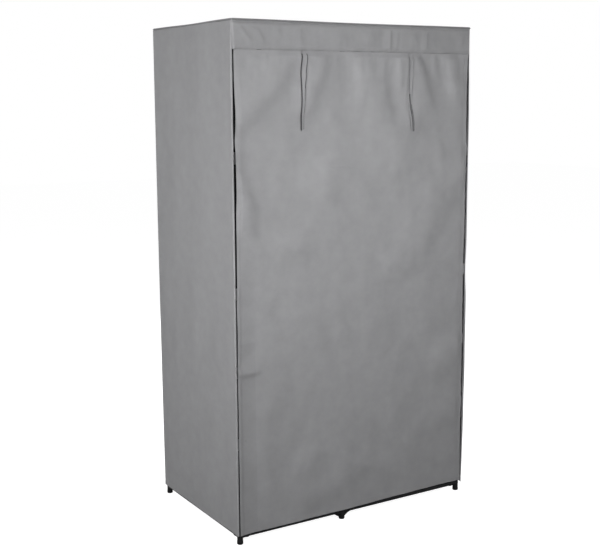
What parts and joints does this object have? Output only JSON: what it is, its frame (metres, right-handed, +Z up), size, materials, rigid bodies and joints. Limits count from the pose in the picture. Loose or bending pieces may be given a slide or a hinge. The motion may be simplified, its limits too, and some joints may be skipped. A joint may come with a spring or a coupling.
{
  "type": "portable fabric wardrobe",
  "caption": "Free-standing clothes wardrobe with a thin tube frame, fabric shelves, a hanging rail and a sewn cloth cover with a front flap.",
  "frame": {"origin": "the middle of the footprint, on the floor under the feet", "axes": "+Z up, the front flap faces -Y, the narrow shelf bay is on the -X side"},
  "size_m": [0.897, 0.5586, 1.6],
  "materials": {
    "cover_cloth": "mid grey non-woven cloth, matt, lightly embossed",
    "tie_cloth": "ties of the cover's grey cloth, folded and sewn",
    "black_plastic": "black moulded plastic, fine grain",
    "black_tube": "thin steel tube, black powder coat"
  },
  "bodies": {
    "frame_and_cover": {"foot_connector_front_left": "black_plastic", "top_connector_front_left": "black_plastic", "post_front_left": "black_tube", "foot_connector_rear_left": "black_plastic", "top_connector_rear_left": "black_plastic", "post_rear_left": "black_tube", "foot_connector_front_middle": "black_plastic", "top_connector_front_middle": "black_plastic", "post_front_middle": "black_tube", "foot_connector_rear_middle": "black_plastic", "top_connector_rear_middle": "black_plastic", "post_rear_middle": "black_tube", "foot_connector_front_right": "black_plastic", "top_connector_front_right": "black_plastic", "post_front_right": "black_tube", "foot_connector_rear_right": "black_plastic", "top_connector_rear_right": "black_plastic", "post_rear_right": "black_tube", "bottom_rail_front_left": "black_tube", "bottom_rail_front_right": "black_tube", "bottom_rail_rear_left": "black_tube", "bottom_rail_rear_right": "black_tube", "bottom_rail_side_left": "black_tube", "bottom_rail_side_middle": "black_tube", "bottom_rail_side_right": "black_tube", "top_rail_front_left": "black_tube", "top_rail_front_right": "black_tube", "top_rail_rear_left": "black_tube", "top_rail_rear_right": "black_tube", "top_rail_side_left": "black_tube", "top_rail_side_middle": "black_tube", "top_rail_side_right": "black_tube", "shelf_rail_front_1": "black_tube", "shelf_rail_rear_1": "black_tube", "shelf_1": "cover_cloth", "shelf_rail_front_2": "black_tube", "shelf_rail_rear_2": "black_tube", "shelf_2": "cover_cloth", "shelf_rail_front_3": "black_tube", "shelf_rail_rear_3": "black_tube", "shelf_3": "cover_cloth", "hanging_rail": "black_tube", "hanging_rail_holder_middle": "black_plastic", "hanging_rail_holder_right": "black_plastic", "cover_top": "cover_cloth", "cover_back": "cover_cloth", "cover_side_left": "cover_cloth", "cover_side_right": "cover_cloth", "valance": "cover_cloth"},
    "flap_1": {"flap_band_1": "cover_cloth"},
    "flap_2": {"flap_band_2": "cover_cloth"},
    "flap_3": {"flap_band_3": "cover_cloth"},
    "flap_4": {"flap_band_4": "cover_cloth"},
    "flap_5": {"flap_band_5": "cover_cloth"},
    "flap_6": {"flap_band_6": "cover_cloth"},
    "flap_7": {"flap_band_7": "cover_cloth"},
    "tie_outer_left": {"tie_outer_left": "tie_cloth"},
    "tie_outer_right": {"tie_outer_right": "tie_cloth"},
    "tie_inner_left": {"tie_inner_left": "tie_cloth"},
    "tie_inner_right": {"tie_inner_right": "tie_cloth"}
  },
  "joints": [
    {"name": "flap_lift", "type": "hinge", "parent": "frame_and_cover", "child": "flap_1", "pos_m": [0, -0.2704, 1.5125], "axis": [-1, 0, 0], "range_deg": [0, 82]},
    {"name": "flap_fold_1", "type": "hinge", "parent": "flap_1", "child": "flap_2", "pos_m": [0, -0.2656, 1.30157], "axis": [-1, 0, 0], "range_deg": [-164, 0]},
    {"name": "flap_fold_2", "type": "hinge", "parent": "flap_2", "child": "flap_3", "pos_m": [0, -0.2768, 1.09064], "axis": [-1, 0, 0], "range_deg": [0, 164]},
    {"name": "flap_fold_3", "type": "hinge", "parent": "flap_3", "child": "flap_4", "pos_m": [0, -0.2656, 0.87971], "axis": [-1, 0, 0], "range_deg": [-164, 0]},
    {"name": "flap_fold_4", "type": "hinge", "parent": "flap_4", "child": "flap_5", "pos_m": [0, -0.2768, 0.66879], "axis": [-1, 0, 0], "range_deg": [0, 164]},
    {"name": "flap_fold_5", "type": "hinge", "parent": "flap_5", "child": "flap_6", "pos_m": [0, -0.2656, 0.45786], "axis": [-1, 0, 0], "range_deg": [-164, 0]},
    {"name": "flap_fold_6", "type": "hinge", "parent": "flap_6", "child": "flap_7", "pos_m": [0, -0.2768, 0.24693], "axis": [-1, 0, 0], "range_deg": [0, 164]},
    {"name": "tie_outer_left_swing", "type": "hinge", "parent": "flap_1", "child": "tie_outer_left", "pos_m": [-0.202, -0.2717, 1.5105], "axis": [-1, 0, 0], "range_deg": [0, 60]},
    {"name": "tie_inner_left_swing", "type": "hinge", "parent": "frame_and_cover", "child": "tie_inner_left", "pos_m": [-0.202, -0.2679, 1.5105], "axis": [1, 0, 0], "range_deg": [0, 60]},
    {"name": "tie_outer_right_swing", "type": "hinge", "parent": "flap_1", "child": "tie_outer_right", "pos_m": [0.202, -0.2717, 1.5105], "axis": [-1, 0, 0], "range_deg": [0, 60]},
    {"name": "tie_inner_right_swing", "type": "hinge", "parent": "frame_and_cover", "child": "tie_inner_right", "pos_m": [0.202, -0.2679, 1.5105], "axis": [1, 0, 0], "range_deg": [0, 60]}
  ],
  "couplings": [
    {"joint": "flap_fold_1", "follows": "flap_lift", "ratio": -2},
    {"joint": "flap_fold_2", "follows": "flap_lift", "ratio": 2},
    {"joint": "flap_fold_3", "follows": "flap_lift", "ratio": -2},
    {"joint": "flap_fold_4", "follows": "flap_lift", "ratio": 2},
    {"joint": "flap_fold_5", "follows": "flap_lift", "ratio": -2},
    {"joint": "flap_fold_6", "follows": "flap_lift", "ratio": 2}
  ]
}
